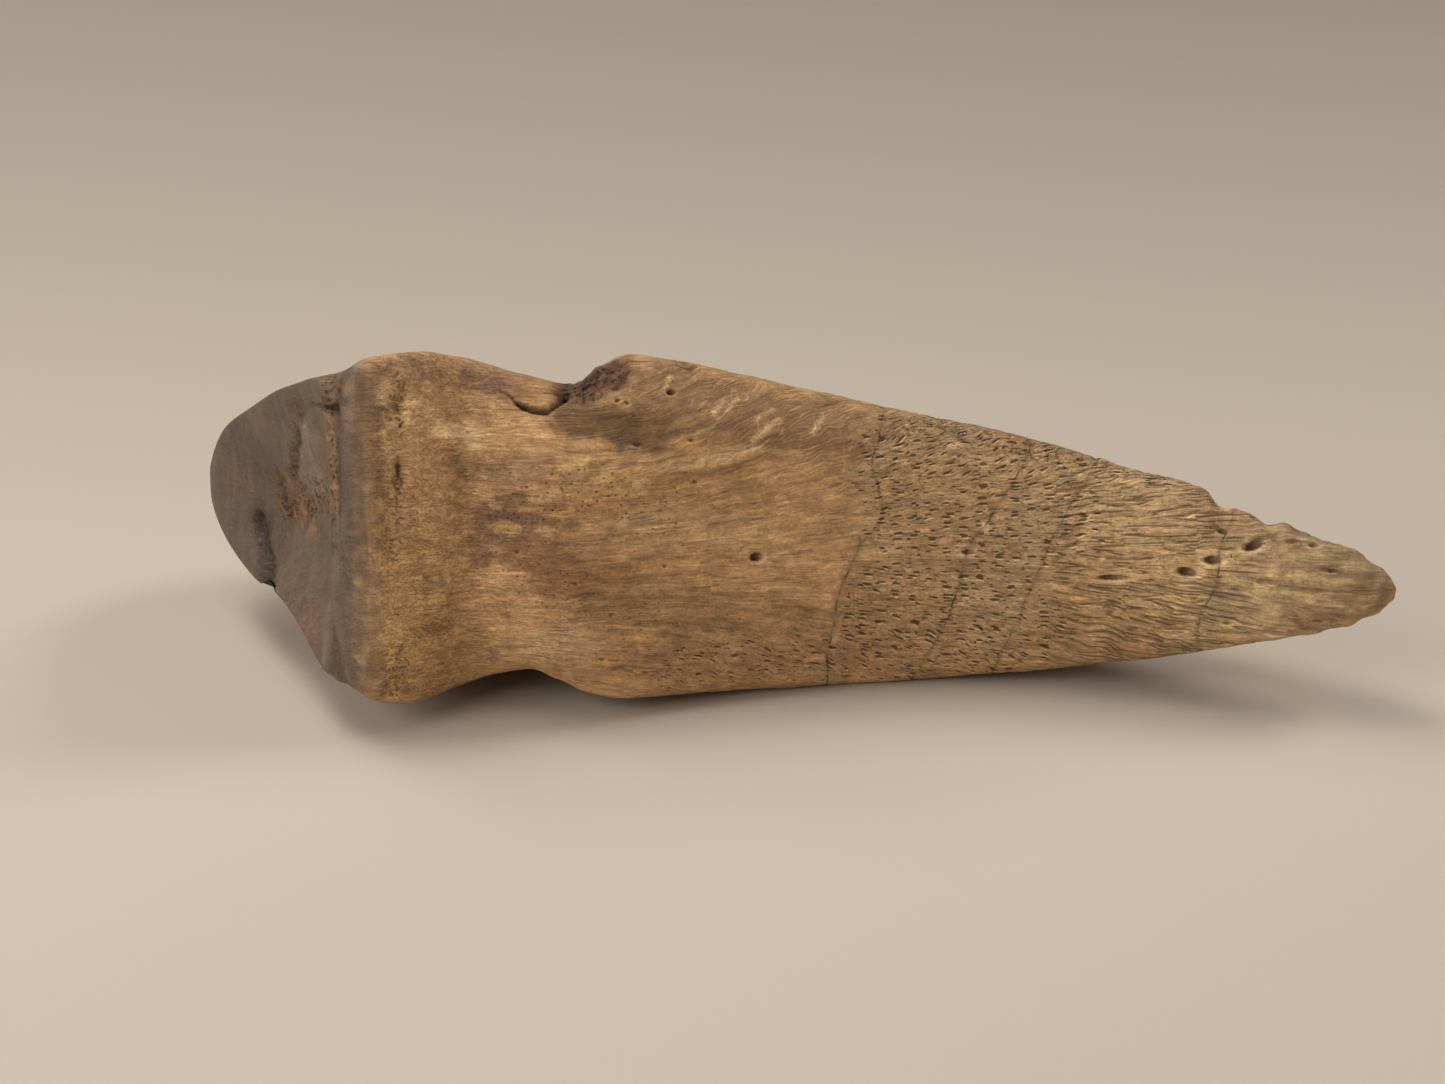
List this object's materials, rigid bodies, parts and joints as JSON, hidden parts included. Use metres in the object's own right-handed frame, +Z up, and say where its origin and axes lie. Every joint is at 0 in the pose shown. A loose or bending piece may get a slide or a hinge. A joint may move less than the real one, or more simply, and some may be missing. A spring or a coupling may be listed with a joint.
{
  "type": "fossil tyrannosaur claw",
  "caption": "Fossil toe claw bone of a large meat-eating dinosaur, lying on its side: hollowed joint at one end, flat pitted underside, tapering to a blunt point",
  "frame": {"origin": "bottom centre of the bounding box, on the surface that the claw lies on", "axes": "+X along the claw from the joint to the point, -Y the side that the flat underside of the claw faces, +Z up"},
  "size_m": [0.14, 0.0476, 0.041],
  "materials": {
    "fossil_bone": "mineralised bone: ochre and grey-brown, pitted with vessel holes and grooves, dull with a faint polish on the joint and the point"
  },
  "bodies": {
    "root": {"claw": "fossil_bone"}
  },
  "joints": []
}
